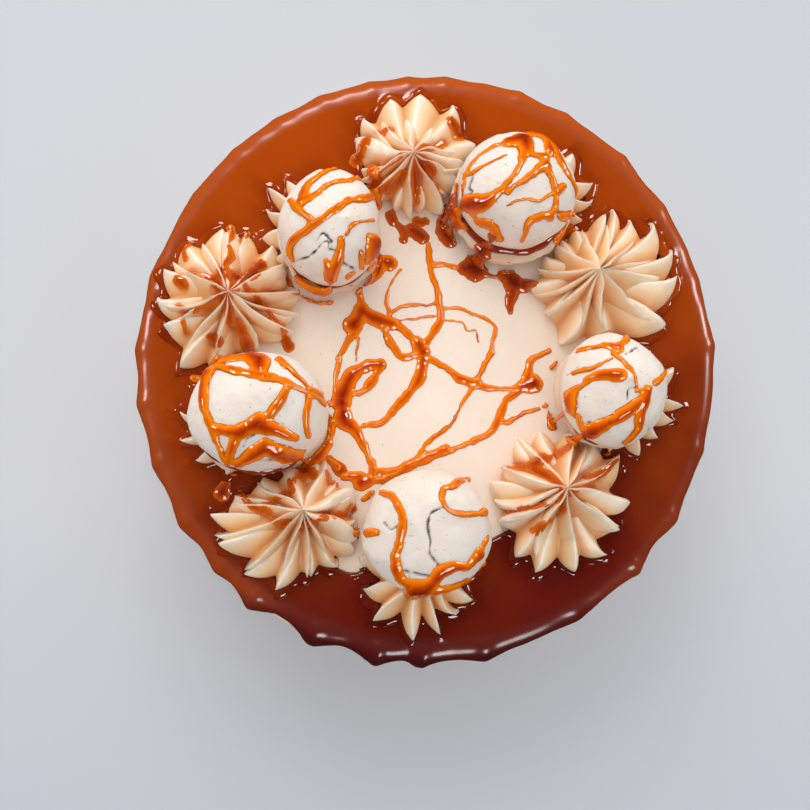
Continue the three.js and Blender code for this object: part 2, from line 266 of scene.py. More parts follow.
# Cracks in the meringues' shells, as points on plan
CRACKS = {
    "meringue_02": [[(10, 59), (9, 55), (10, 53), (7, 52)]],
    "meringue_04": [
        [(49, -26), (52, -28), (55, -26)], [(64, -15), (61, -16), (61, -19)],
        [(61, -3), (63, -2), (66, 0)], [(65, -28), (69, -27), (73, -29)]],
    "meringue_06": [
        [(-1, -55), (-5, -57), (-6, -61), (-5, -66), (-5, -70), (-2, -74)],
        [(-13, -76), (-9, -77), (-4, -78)], [(-20, -60), (-18, -62), (-16, -61)]],
    "meringue_08": [[(-66, -36), (-65, -34), (-62, -32)], [(-61, -40), (-55, -40), (-51, -38)]],
    "meringue_10": [
        [(-50, 28), (-46, 28), (-43, 30), (-41, 32), (-39, 32), (-39, 30), (-36, 29), (-34, 26), (-30, 25)],
        [(-43, 33), (-41, 35), (-38, 32)]],
}


def strand(first_width, last_width, *points):
    """A caramel strand's points on plan, each with the half width there, which changes evenly."""
    return np.column_stack([points, np.linspace(first_width, last_width, len(points))])


# Caramel strands: half widths at the first and last point, then the points on plan
STRANDS = {
    "centre": [
        (1.2, 1.6, (-28, 30), (-27, 24), (-26, 18)), (2.7, 3.8, (-26, 16), (-29, 11)),
        (1.9, 1.0, (-29, 8), (-31, 5), (-34, -1)), (1.1, 1.4, (-34, -1), (-35, -8), (-35, -14)),
        (2.9, 2.1, (-26, 16), (-20, 13), (-15, 12)), (0.7, 0.4, (-27, 6), (-28, 1), (-28, -2)),
        (0.6, 1.1, (-12, 32), (-16, 26), (-17, 20), (-16, 16)),
        (0.9, 0.6, (-16, 16), (-9, 19), (-3, 19), (1, 20)), (0.4, 0.6, (-14, 13), (-6, 14), (0, 15)),
        (1.1, 1.6, (-2, 42), (-1, 32), (1, 26), (2, 20), (2, 13), (-3, 5)),
        (1.3, 1.7, (-18, 10), (-15, 4), (-11, 0), (-5, 1)), (1.7, 1.6, (-15, 12), (-10, 9), (-6, 5)),
        (2.3, 3.1, (-6, 5), (-4, 2)), (2.6, 1.3, (-4, -1), (-5, -7), (-9, -13), (-15, -20)),
        (1.2, 1.2, (-15, -20), (-19, -24), (-25, -25)),
        (1.9, 3.0, (-19, -3), (-25, -4), (-30, -8), (-33, -15)),
        (3.3, 1.6, (-33, -17), (-32, -23), (-28, -27), (-25, -32)),
        (1.4, 1.3, (-25, -32), (-23, -37), (-22, -42)),
        (1.9, 0.9, (-19, -3), (-22, -9), (-26, -13), (-30, -14)),
        (1.5, 1.7, (-36, -24), (-37, -28), (-39, -34)), (1.0, 1.7, (-37, -37), (-34, -40)),
        (1.5, 2.2, (-32, -43), (-26, -43)), (1.2, 1.7, (-22, -41), (-15, -41), (-8, -38), (4, -33)),
        (1.1, 0.5, (-6, -36), (-2, -30), (4, -25)), (1.2, 1.8, (-1, -1), (5, -4), (10, -8), (16, -9)),
        (1.0, 1.2, (21, 2), (18, -3), (15, -9)), (1.5, 0.8, (16, -10), (22, -11), (29, -11)),
        (1.9, 3.1, (31, -10), (36, -9)), (2.0, 1.0, (34, -7), (35, -1), (38, 1), (42, 3)),
        (1.4, 1.4, (31, -12), (26, -15), (24, -20), (20, -27), (14, -30)),
        (1.0, 1.6, (14, -30), (7, -33), (-2, -36)), (1.1, 1.0, (23, -23), (27, -23), (32, -20), (38, -18)),
        (0.9, 0.6, (14, -11), (11, -15), (6, -24), (-2, -31)), (1.0, 1.3, (0, 34), (5, 34), (10, 33)),
        (0.8, 1.0, (4, 18), (9, 18), (15, 16), (22, 12), (21, 5), (20, 1)),
        (0.6, 0.5, (3, 14), (10, 13), (12, 10), (15, 10), (16, 6)), (0.4, 0.4, (42, -10), (46, -8)),
        (1.1, 0.7, (40, -17), (45, -14)), (2.9, 1.9, (-26, -45), (-22, -44)),
        (1.3, 1.5, (-22, -38), (-21, -44), (-15, -43), (-8, -39), (-2, -37)),
    ],
    "pools": [
        (1.6, 3.3, (10, 33), (15, 33)), (2.7, 1.2, (16, 32), (15, 29)), (2.7, 1.6, (15, 36), (19, 39)),
        (0.9, 0.7, (18, 31), (24, 30)), (2.2, 3.0, (26, 31), (29, 28)), (2.8, 1.7, (30, 27), (35, 27)),
        (2.1, 0.8, (29, 25), (28, 21), (28, 17)), (1.9, 2.9, (6, 56), (4, 50)),
        (3.0, 2.1, (4, 47), (6, 43)), (1.6, 1.5, (-16, 52), (-15, 50)), (2.1, 2.1, (-8, 47), (-4, 44)),
        (1.2, 1.3, (-13, 48), (-11, 46), (-11, 43)), (1.6, 2.5, (-73, -46), (-74, -49)),
    ],
    "rosettes": [
        (1.0, 1.6, (-21, 80), (-17, 81)), (1.5, 2.2, (-25, 78), (-28, 72)), (1.8, 2.4, (6, 86), (9, 82)),
        (0.9, 1.3, (-11, 68), (-15, 67), (-20, 65)), (1.6, 1.7, (3, 77), (-4, 72), (-8, 68)),
        (2.0, 1.4, (-7, 66), (-2, 65)), (1.1, 2.2, (-9, 65), (-8, 60)), (2.1, 1.2, (-8, 59), (-7, 55)),
        (1.5, 1.6, (-13, 62), (-18, 59)), (0.8, 1.0, (0, 61), (2, 57), (5, 55)),
        (1.7, 2.3, (-23, 67), (-22, 59)), (1.7, 1.6, (-6, 50), (-3, 50)),
        (1.3, 0.8, (-73, 45), (-72, 41), (-73, 38)), (1.2, 0.7, (-67, 43), (-69, 39)),
        (0.8, 1.6, (-73, 36), (-72, 31), (-75, 26)), (0.8, 1.2, (-87, 39), (-89, 36), (-88, 32)),
        (0.6, 1.7, (-85, 27), (-79, 24), (-73, 22)), (1.6, 2.2, (-71, 24), (-66, 24), (-62, 30)),
        (1.9, 2.2, (-74, 25), (-76, 20), (-74, 15)), (1.7, 1.5, (-68, 22), (-72, 16), (-72, 9)),
        (1.2, 0.9, (-67, 20), (-61, 15), (-56, 10)), (1.1, 1.7, (-54, 8), (-52, 3)),
        (0.8, 0.6, (-60, 20), (-49, 21)), (1.5, 1.9, (-69, 8), (-66, 1)), (1.7, 1.3, (-90, 24), (-88, 22)),
        (1.3, 0.7, (-76, 15), (-80, 13), (-84, 12)), (1.0, 1.1, (-90, 15), (-88, 13)),
        (1.1, 0.9, (-88, 9), (-87, 6)), (1.2, 1.7, (-79, 4), (-76, 2)),
        (0.7, 1.8, (24, -40), (30, -40), (37, -37)), (1.2, 1.6, (33, -40), (39, -46), (42, -55)),
        (0.9, 1.2, (39, -37), (48, -32)), (1.4, 0.7, (44, -49), (54, -46)),
        (1.5, 1.0, (52, -44), (58, -42), (65, -36)), (1.2, 0.9, (26, -55), (31, -54), (38, -53)),
        (1.4, 1.0, (34, -62), (39, -58)), (1.0, 1.6, (-68, -49), (-63, -54), (-58, -56)),
        (1.4, 1.3, (-59, -54), (-52, -50)), (1.4, 1.2, (-50, -46), (-50, -49)),
        (1.5, 1.5, (-44, -42), (-43, -43)), (2.1, 1.9, (-45, -40), (-47, -43)),
        (1.3, 1.4, (-38, -42), (-37, -45), (-35, -46)), (1.3, 1.9, (-37, -37), (-33, -41)),
        (1.1, 1.5, (-56, -59), (-52, -60)), (0.9, 1.3, (-46, -61), (-39, -58)),
        (1.3, 1.5, (-36, -57), (-32, -57), (-29, -54)),
    ],
    "meringue_02": [
        (1.3, 3.5, (22, 70), (28, 72)), (3.0, 1.9, (28, 70), (28, 67)),
        (1.6, 1.6, (31, 76), (35, 77), (37, 73), (37, 68)),
        (0.8, 0.7, (22, 70), (17, 69), (11, 65), (9, 61)), (0.5, 0.8, (21, 65), (15, 62), (10, 60)),
        (1.3, 0.8, (27, 66), (25, 60), (20, 53)), (0.9, 1.6, (29, 66), (35, 65)),
        (1.7, 0.8, (35, 62), (30, 58), (21, 51)), (1.3, 1.0, (35, 62), (38, 55), (39, 49), (37, 45)),
        (1.5, 1.0, (38, 73), (42, 64), (48, 57), (50, 52)), (1.0, 1.2, (42, 56), (39, 53)),
        (0.4, 0.7, (21, 47), (27, 49), (32, 49), (37, 52)), (1.5, 2.4, (19, 52), (14, 49), (8, 50)),
        (1.2, 1.0, (8, 61), (7, 56)), (1.3, 1.9, (41, 46), (47, 48), (51, 48)),
        (1.3, 0.9, (37, 45), (30, 43), (28, 38)), (1.6, 1.0, (49, 48), (43, 41)),
        (1.0, 1.0, (9, 46), (12, 44), (17, 42), (21, 38)),
    ],
    "meringue_04": [
        (0.9, 0.8, (43, -3), (46, -1), (55, 0)), (1.2, 1.6, (55, 0), (59, -1)),
        (1.2, 0.9, (59, -1), (62, 2), (67, 8)), (0.5, 0.8, (59, 8), (63, 9), (67, 8)),
        (0.9, 0.6, (57, -3), (62, -9), (64, -14)), (1.0, 0.6, (45, -9), (50, -8), (56, -5)),
        (1.1, 2.1, (48, -12), (53, -11), (58, -11)), (0.8, 2.0, (48, -13), (44, -16), (43, -24)),
        (0.8, 1.1, (78, 2), (81, -3), (76, -9), (71, -13)),
        (1.7, 1.2, (68, -16), (66, -24), (66, -28), (62, -34)), (1.5, 2.0, (65, -19), (61, -23), (54, -27)),
        (2.0, 2.6, (54, -27), (49, -30)), (1.2, 0.6, (48, -28), (46, -23)),
        (0.6, 0.8, (64, -16), (69, -15)),
    ],
    "meringue_06": [
        (1.0, 1.3, (-25, -51), (-22, -49), (-17, -52), (-14, -59), (-15, -67)),
        (1.3, 1.8, (-15, -67), (-16, -72), (-14, -78), (-11, -80)),
        (2.6, 1.5, (-9, -82), (-5, -81), (-1, -76), (3, -74)), (1.4, 1.6, (3, -74), (8, -74), (12, -70)),
        (1.2, 0.7, (12, -70), (15, -64)), (1.4, 1.1, (-3, -82), (4, -81), (12, -78), (17, -73)),
        (0.9, 1.2, (12, -44), (7, -45), (2, -48)),
        (0.8, 1.0, (2, -48), (-1, -49), (-1, -54), (3, -57), (10, -57)), (0.7, 1.4, (11, -57), (14, -56)),
        (1.9, 1.0, (-27, -63), (-22, -63)),
    ],
    "meringue_08": [
        (1.1, 1.5, (-85, -9), (-79, -10)), (2.0, 1.3, (-76, -4), (-78, -9), (-79, -21), (-75, -33)),
        (0.9, 1.1, (-75, -33), (-73, -38), (-71, -41)), (1.8, 1.3, (-76, -5), (-70, -6), (-65, -6)),
        (2.0, 2.8, (-64, -6), (-61, -8)), (2.4, 1.7, (-61, -9), (-61, -12)),
        (1.3, 1.4, (-75, -9), (-70, -11), (-66, -12), (-57, -14)),
        (1.2, 0.8, (-57, -14), (-49, -17), (-41, -20)), (0.9, 1.3, (-41, -20), (-37, -23), (-37, -28)),
        (1.2, 0.7, (-55, -7), (-50, -12), (-45, -17)), (0.7, 1.1, (-45, -17), (-41, -18), (-36, -17)),
        (0.9, 1.6, (-52, -17), (-54, -21), (-59, -28)), (1.4, 2.4, (-75, -30), (-68, -31), (-61, -28)),
        (2.2, 1.0, (-60, -29), (-54, -31), (-49, -33)), (1.5, 1.1, (-68, -32), (-70, -37), (-71, -41)),
        (1.2, 1.0, (-45, -20), (-46, -26), (-45, -32)), (1.2, 2.2, (-70, -42), (-65, -39), (-59, -36)),
        (2.1, 1.8, (-58, -36), (-52, -38), (-46, -38)), (2.0, 1.8, (-45, -38), (-41, -36), (-38, -31)),
    ],
    "meringue_10": [
        (0.7, 1.7, (-30, 66), (-39, 60), (-46, 54), (-48, 47)),
        (1.5, 0.8, (-48, 47), (-44, 49), (-39, 53), (-32, 55)), (0.8, 1.5, (-32, 55), (-28, 58), (-23, 61)),
        (1.4, 1.3, (-23, 66), (-22, 59)), (1.8, 1.1, (-21, 56), (-26, 49), (-33, 46)),
        (1.3, 1.2, (-33, 46), (-38, 42), (-45, 38), (-51, 34), (-52, 31), (-51, 26)),
        (0.9, 1.1, (-52, 49), (-49, 44), (-44, 39)), (0.6, 0.6, (-33, 35), (-31, 38), (-24, 41)),
        (0.9, 1.8, (-50, 25), (-45, 21), (-38, 20)), (1.1, 1.9, (-35, 33), (-35, 30), (-38, 22)),
        (0.8, 1.4, (-40, 27), (-38, 23)), (1.5, 3.2, (-25, 35), (-22, 33)),
        (3.0, 1.5, (-22, 32), (-25, 27)), (2.3, 1.9, (-16, 34), (-19, 35)),
        (1.0, 0.9, (-23, 29), (-28, 25), (-32, 23)),
    ],
}
DRIZZLE = {name: [strand(*values) for values in strands] for name, strands in STRANDS.items()}


# ---- shape helpers

def smoothstep(values):
    held = np.clip(values, 0, 1)
    return held * held * (3 - 2 * held)


def full_turn(count):
    """Directions all the way round, in radians."""
    return np.linspace(0, 2 * math.pi, count, endpoint=False)


def heading(angle):
    """Steps of length 1 on plan, in directions given in radians."""
    return np.stack([np.cos(angle), np.sin(angle)], axis=-1)


def turned_from(angle, direction):
    """Degrees from a direction, -180 to 180, for angles in radians."""
    return (np.degrees(angle) - direction + 180) % 360 - 180


def away(points):
    """Plan distance of points from the origin."""
    return np.hypot(points[..., 0], points[..., 1])


def bearing(points):
    return np.arctan2(points[..., 1], points[..., 0])


def unit(vectors):
    return vectors / np.maximum(np.linalg.norm(vectors, axis=-1, keepdims=True), 1e-9)


def between(first, second, share):
    return first * (1 - share) + second * share


def noise(points, size, seed=0):
    """Smooth values from -1 to 1 that change over about `size` millimetres."""
    place = np.asarray(points, float) / size + 31.7 * seed
    cell = np.floor(place).astype(np.int64)
    part = smoothstep(place - cell)
    total = np.zeros(part.shape[:-1])
    for corner in np.ndindex(*(2,) * part.shape[-1]):
        key = (cell + corner) @ np.array([73856093, 19349663, 83492791])[:part.shape[-1]]
        key = (key ^ (key >> 13)) * 1274126177
        key = key ^ (key >> 16)
        weight = np.prod(np.where(corner, part, 1 - part), axis=-1)
        total += weight * ((key & 0xFFFF) / 32767.5 - 1)
    return total


def rough(points, *waves):
    """The sum of several noises, each given as (height, size, seed)."""
    return sum(height * noise(points, size, seed) for height, size, seed in waves)


def spline(points, shares):
    """Points along a smooth curve through `points`, at shares 0 to 1 of its chords."""
    points = np.asarray(points, float)
    reach = np.append(0, np.cumsum(np.linalg.norm(np.diff(points, axis=0), axis=1)))
    where = shares * reach[-1]
    after = np.clip(np.searchsorted(reach, where, side="right"), 1, len(points) - 1)
    part = ((where - reach[after - 1]) / np.diff(reach)[after - 1])[:, None]
    ends = np.vstack([2 * points[0] - points[1], points, 2 * points[-1] - points[-2]])
    p0, p1, p2, p3 = (ends[after + step] for step in (-1, 0, 1, 2))
    return 0.5 * (2 * p1 + (p2 - p0) * part + (2 * p0 - 5 * p1 + 4 * p2 - p3) * part ** 2
                  + (3 * p1 - p0 - 3 * p2 + p3) * part ** 3)


def smooth_line(path, spacing, fewest=2):
    """A smooth curve through a path's points, with a point about every `spacing` millimetres."""
    length = np.linalg.norm(np.diff(path, axis=0), axis=1).sum()
    return spline(path, np.linspace(0, 1, max(fewest, int(length / spacing))))


def distance_to_path(points, path, spacing=0.3):
    """Plan distance from each point to a smooth path."""
    best = np.full(points.shape[:-1], np.inf)
    for step in smooth_line(path, spacing):
        best = np.minimum(best, away(points[..., :2] - step))
    return best


def grid_faces(rows, columns, round_columns=True, round_rows=False, flip=False):
    """Quads between a grid's points; the grid may close on itself in either direction."""
    index = np.arange(rows * columns).reshape(rows, columns)
    index = np.pad(index, ((0, int(round_rows)), (0, int(round_columns))), "wrap")
    quads = np.stack([index[:-1, :-1], index[:-1, 1:], index[1:, 1:], index[1:, :-1]], axis=-1)
    return quads.reshape(-1, 4)[:, [0, 3, 2, 1] if flip else [0, 1, 2, 3]]


def grid_normals(grid, wrap):
    """Unit normals of a grid of points; the second direction may wrap round."""
    if wrap:
        across = np.roll(grid, -1, axis=1) - np.roll(grid, 1, axis=1)
    else:
        across = np.gradient(grid, axis=1)
    return unit(np.cross(across, np.gradient(grid, axis=0)))


def shell(rings, bottom, top):
    """Points and faces of a closed skin through rings of points, lowest ring first."""
    rows, columns = rings.shape[:2]
    count = rows * columns
    first = np.arange(columns)
    following = np.roll(first, -1)
    foot = np.stack([following, first, np.full(columns, count)], axis=-1)
    head = np.stack([first, following, np.full(columns, columns + 1)], axis=-1) + count - columns
    faces = np.concatenate([foot, head]).tolist()
    return np.vstack([rings.reshape(-1, 3), bottom, top]), grid_faces(rows, columns).tolist() + faces


def tube(line, out, thick, level, squash, sides):
    """Rings of points round a level line; `squash` is their height as a share of their width."""
    turn = full_turn(sides)
    across = thick[:, None] * np.cos(turn)
    plan = line[:, None, :] + out[:, None, :] * across[..., None]
    return np.dstack([plan, level + squash * thick[:, None] * np.sin(turn)])


def joined(parts):
    """The points and faces of several parts as one list of each."""
    points, faces, start = [], [], 0
    for part_points, part_faces in parts:
        points.append(part_points)
        faces += [[v + start for v in face] for face in part_faces]
        start += len(part_points)
    return np.vstack(points), faces


def reach_at(outline, centre, angle):
    """How far from its centre a closed outline lies, in directions given in radians."""
    offset = outline[:, :2] - centre
    return np.interp(angle, bearing(offset), away(offset), period=2 * math.pi)


def soft_union(first, second, blend):
    """The larger of two depths, with a fillet where they are alike."""
    near = np.maximum(blend - np.abs(first - second), 0) / blend
    return np.maximum(first, second) + near * near * blend / 4


def rounded(depth, edge):
    """0 at a layer's edge to 1 from `edge` inwards, as a quarter circle."""
    return np.sqrt(np.maximum(1 - (1 - np.clip(depth / edge, 0, 1)) ** 2, 0))


def piece(name, points, faces, slot, material, replaces=None, **values):
    """A smooth-shaded mesh piece from millimetre points, with values kept on its points."""
    mesh = bpy.data.meshes.new(name)
    mesh.from_pydata((np.asarray(points) * MM).tolist(), [], faces)
    for key, numbers in values.items():
        layer = mesh.attributes.new(key, "FLOAT", "POINT")
        layer.data.foreach_set("value", np.broadcast_to(numbers, len(points)).astype(np.float32))
    mesh.polygons.foreach_set("use_smooth", np.ones(len(mesh.polygons), bool))
    mesh.materials.append(material)
    made = bpy.data.objects.new(name, mesh)
    bpy.context.scene.collection.objects.link(made)
    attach(made, "root")
    if replaces:
        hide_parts(replaces)
    return points, faces


def cut_at_zero(depth, quads):
    """The quads where depth is above zero, with those on its edge cut along zero.

    Returns the faces, the number of kept points before the cut ones, and for every
    point the two old points that it lies between and its share of the way."""
    inside = depth > 0
    corners = inside[quads]
    whole = quads[corners.all(axis=1)]
    mixed = quads[corners.any(axis=1) & ~corners.all(axis=1)]
    triangles = np.vstack([mixed[:, [0, 1, 2]], mixed[:, [0, 2, 3]]])
    count = inside[triangles].sum(axis=1)

    def led_by(chosen, found):
        """The chosen triangles, each turned to start at its point that was found."""
        turn = found[chosen].argmax(axis=1)[:, None]
        return np.take_along_axis(chosen, (turn + [0, 1, 2]) % 3, axis=1)

    full, one, two = triangles[count == 3], triangles[count == 1], triangles[count == 2]
    one, two = led_by(one, inside), led_by(two, ~inside)
    pairs = np.vstack([one[:, [0, 1]], one[:, [0, 2]], two[:, [1, 0]], two[:, [2, 0]]])
    pairs, back = np.unique(pairs, axis=0, return_inverse=True)
    near, far = pairs.T
    kept = np.unique(np.concatenate([whole.ravel(), full.ravel(), one[:, 0], two[:, 1:].ravel()]))
    renumber = np.full(len(depth), -1)
    renumber[kept] = np.arange(len(kept))
    cuts = np.split(back.ravel() + len(kept), np.cumsum([len(one), len(one), len(two)]))
    faces = renumber[whole].tolist() + renumber[full].tolist()
    faces += np.stack([renumber[one[:, 0]], cuts[0], cuts[1]], axis=1).tolist()
    faces += np.stack([*renumber[two[:, 1:]].T, cuts[3], cuts[2]], axis=1).tolist()
    share = depth[near] / np.maximum(depth[near] - depth[far], 1e-9)
    start, end = np.concatenate([kept, near]), np.concatenate([kept, far])
    return faces, len(kept), start, end, np.concatenate([np.zeros(len(kept)), share])


def coat(points, normals, quads, depth, rise, sink):
    """A closed layer that lies on a skin where depth is above zero.

    depth is the distance in from the layer's edge, rise the layer's height over the skin,
    and sink how far its underside lies in the skin. Also returns each point's depth."""
    faces, inner, start, end, share = cut_at_zero(depth, quads)
    share = share[:, None]
    base = between(points[start], points[end], share)
    out = unit(between(normals[start], normals[end], share))
    lift = rise[start]
    lift[inner:] = -EDGE_SINK
    front = base + out * lift[:, None]
    under = base[:inner] - out[:inner] * sink
    turned = [[v + len(front) if v < inner else v for v in reversed(face)] for face in faces]
    inward = depth[start]
    inward[inner:] = 0
    return np.vstack([front, under]), faces + turned, np.concatenate([inward, inward[:inner]])


# ---- materials

def linear(red, green, blue):
    """A colour given as 0 to 255 screen values, as Blender's linear one."""
    channels = [c / 255 for c in (red, green, blue)]
    return tuple(c / 12.92 if c <= 0.04045 else ((c + 0.055) / 1.055) ** 2.4 for c in channels) + (1,)


class Nodes:
    """A node tree and short ways to add to it."""

    def __init__(self, tree, place="Object"):
        self.tree = tree
        self.place = self.add("ShaderNodeTexCoord").outputs[place]

    def add(self, kind, **settings):
        node = self.tree.nodes.new(kind)
        for key, value in settings.items():
            setattr(node, key, value)
        return node

    def feed(self, socket, value):
        """Gives an input socket another node's output, or a plain value."""
        if isinstance(value, bpy.types.NodeSocket):
            self.tree.links.new(value, socket)
        else:
            socket.default_value = value

    def feed_all(self, node, values):
        for key, value in values.items():
            self.feed(node.inputs[key], value)
        return node

    def noise(self, scale, detail=3.0):
        values = {"Scale": scale, "Detail": detail, "Vector": self.place}
        return self.feed_all(self.add("ShaderNodeTexNoise"), values).outputs["Fac"]

    def attribute(self, name):
        return self.add("ShaderNodeAttribute", attribute_name=name).outputs["Fac"]

    def math(self, operation, *values):
        node = self.add("ShaderNodeMath", operation=operation)
        return self.feed_all(node, dict(enumerate(values))).outputs[0]

    def line(self, value, factor, start):
        """value * factor + start"""
        return self.math("MULTIPLY_ADD", value, factor, start)

    def ramp(self, factor, stops):
        """A colour ramp: stops are positions with their (red, green, blue) in screen values."""
        node = self.add("ShaderNodeValToRGB")
        elements = node.color_ramp.elements
        while len(elements) < len(stops):
            elements.new(0.5)
        for element, (position, colour) in zip(elements, stops.items()):
            element.position = position
            element.color = linear(*colour)
        return self.feed_all(node, {"Fac": factor}).outputs["Color"]

    def mix(self, factor, first, second, blend="MIX"):
        node = self.add("ShaderNodeMix", data_type="RGBA", blend_type=blend)
        return self.feed_all(node, {0: factor, 6: first, 7: second}).outputs[2]

    def axes(self):
        split = self.add("ShaderNodeSeparateXYZ")
        return self.feed_all(split, {0: self.place}).outputs


class Surface(Nodes):
    """A material with one shader, whose even values are given by socket name."""

    def __init__(self, name, roughness, **values):
        self.material = bpy.data.materials.new(name)
        self.material.use_nodes = True
        super().__init__(self.material.node_tree)
        self.shader = self.tree.nodes["Principled BSDF"]
        values = {key.replace("_", " "): value for key, value in values.items()}
        self.feed_all(self.shader, {"Roughness": roughness, **values})

    def finish(self, colour, *reliefs):
        """Sets the colour, and relief from (height, strength, metres) with the last outermost."""
        self.feed(self.shader.inputs["Base Color"], colour)
        target = self.shader.inputs["Normal"]
        for height, strength, distance in reversed(reliefs):
            node = self.add("ShaderNodeBump")
            self.feed_all(node, {"Strength": strength, "Distance": distance, "Height": height})
            self.feed(target, node.outputs["Normal"])
            target = node.inputs["Normal"]
        return self.material


def cream_coat_material():
    nodes = Surface("cream_coat", 0.5, Subsurface_Weight=0.12, Subsurface_Scale=0.004,
                    Subsurface_Radius=(1.0, 0.6, 0.35))
    tint = nodes.ramp(nodes.noise(38), {0.3: (250, 233, 215), 0.7: (246, 227, 206)})
    speck = nodes.ramp(nodes.noise(900, 0), {0.84: BLACK, 0.87: WHITE})
    return nodes.finish(nodes.mix(speck, tint, linear(214, 186, 158)),
                        (nodes.noise(60), 0.25, 0.0006), (nodes.noise(420, 4), 0.2, 0.0002))


def piped_cream_material():
    nodes = Surface("piped_cream", 0.48, Subsurface_Weight=0.15, Subsurface_Scale=0.002,
                    Subsurface_Radius=(1.0, 0.7, 0.5))
    # Painted highlight and painted shade: the cream is paler on the crests and a darker tan into the
    # grooves.
    tint = nodes.ramp(nodes.attribute("groove"), {
        0: (255, 242, 224), 0.14: (255, 230, 200), 0.4: (253, 210, 158), 1: (230, 158, 92)})
    cloud = nodes.ramp(nodes.noise(120), {0.3: WHITE, 0.7: (248, 243, 236)})
    stain = nodes.attribute("stain")
    soaked = nodes.ramp(stain, {0: (244, 164, 78), 0.45: (220, 112, 22), 1: (172, 66, 4)})
    return nodes.finish(nodes.mix(stain, nodes.mix(1.0, tint, cloud, "MULTIPLY"), soaked),
                        (nodes.noise(260, 4), 0.2, 0.0004), (nodes.noise(900, 3), 0.15, 0.0001))


def meringue_material():
    nodes = Surface("baked_meringue", 0.62, Subsurface_Weight=0.3, Subsurface_Scale=0.006,
                    Subsurface_Radius=(1.0, 0.62, 0.4))
    tint = nodes.ramp(nodes.noise(90), {0.3: (244, 232, 220), 0.7: (237, 222, 207)})
    pit = nodes.ramp(nodes.noise(650, 1), {0.24: (206, 172, 142), 0.3: WHITE})
    tint = nodes.mix(0.6, tint, pit, "MULTIPLY")
    tan_mixed = nodes.mix(nodes.attribute("tan"), tint, linear(220, 178, 138))
    return nodes.finish(nodes.mix(nodes.attribute("crack"), tan_mixed, linear(62, 32, 14)),
                        (nodes.noise(420, 6), 0.45, 0.0004), (nodes.noise(1600, 2), 0.25, 0.0001))


def caramel_material(name, stops):
    """Glossy caramel whose colour deepens inwards from a strand's edge, over DEEP_END mm."""
    nodes = Surface(name, 0.09, IOR=1.47)
    cloud = nodes.line(nodes.noise(110, 2), 0.5, -0.25)
    share = nodes.line(nodes.attribute("inward"), 1 / DEEP_END, cloud)
    return nodes.finish(nodes.ramp(share, stops), (nodes.noise(90, 1), 0.15, 0.0006))


def glaze_material():
    """The glaze: brighter towards the back left, deep red-brown at the front, with painted shade
    beside the rosettes. Its thin rim is brighter than the rest, with painted shade darkening it
    at the front, and its drips are bright and even lower down, where that painted shade fades."""
    nodes = Surface("caramel_glaze", GLAZE_ROUGHNESS, IOR=1.45)
    x, y, z = nodes.axes()
    cloud = nodes.line(nodes.noise(22, 2), 0.5, 0.25)
    deep = nodes.ramp(nodes.line(x, -0.9, nodes.line(y, 4.2, cloud)), {
        0: (94, 20, 14), 0.2: (112, 30, 12), 0.42: (156, 62, 10), 0.62: (168, 68, 8), 1: (178, 72, 4)})
    # Painted shade: the glaze darkens beside the rosettes and on the beads there.
    pooled = nodes.ramp(nodes.attribute("pooled"), {0: WHITE, 1: (204, 160, 142)})
    deep = nodes.mix(1.0, deep, pooled, "MULTIPLY")
    # The thin rim is a brighter orange, with painted shade making it darker towards the front.
    edge = nodes.ramp(nodes.line(y, 5.0, 0.5), {
        0: (80, 14, 12), 0.05: (104, 26, 12), 0.1: (164, 62, 12), 0.56: (188, 80, 10), 1: (196, 84, 8)})
    # Lower down the drips the rim's colour, painted shade and all, gives way to an even orange.
    below = nodes.line(z, -1 / DRIP_SHADE_FADE, (GLAZE_FLOOR - 3) * MM / DRIP_SHADE_FADE)
    thin = nodes.math("MAXIMUM", nodes.math("MINIMUM", below, 0.75), 0.0)
    edge = nodes.mix(thin, edge, linear(174, 70, 12))
    rough = nodes.line(nodes.attribute("shoulder"), SHOULDER_ROUGHNESS - GLAZE_ROUGHNESS, GLAZE_ROUGHNESS)
    nodes.feed(nodes.shader.inputs["Roughness"], rough)
    return nodes.finish(nodes.mix(nodes.attribute("rim"), deep, edge), (nodes.noise(40, 1), 0.12, 0.001))


# ---- the cream body

def body_skin(angle, along):
    """Points of the body's outside. along is the way out and down from the shoulder's start;
    it is below zero on the top."""
    radius = BODY_RADIUS + BODY_OVAL * np.cos(2 * (angle - BODY_OVAL_ANGLE))
    turn = np.clip(along, 0, SHOULDER_ARC) / SHOULDER
    out = radius - SHOULDER + np.minimum(along, 0) + SHOULDER * np.sin(turn)
    drop = np.maximum(along - SHOULDER_ARC, 0)
    height = GLAZE_FLOOR - SHOULDER + SHOULDER * np.cos(turn) - drop
    return np.dstack([out[..., None] * heading(angle), height])


def body_relief(points):
    """Height of the raised centre and of the spatula marks on the top."""
    x, y = points[..., 0], points[..., 1]
    raised = 1 - smoothstep((away(points) - GLAZE_INNER + STEP_WIDTH) / STEP_WIDTH)
    # Strokes are 9 mm long and 2.6 mm wide, and lie askew
    strokes = np.stack([(x * 0.5 + y) / 9, (y * 0.25 - x) / 2.6], axis=-1)
    marks = rough(points, (0.22, 17, 1), (0.05, 1.6, 3)) + rough(strokes, (0.16, 1, 2))
    return (CAKE_TOP - GLAZE_FLOOR) * raised + marks


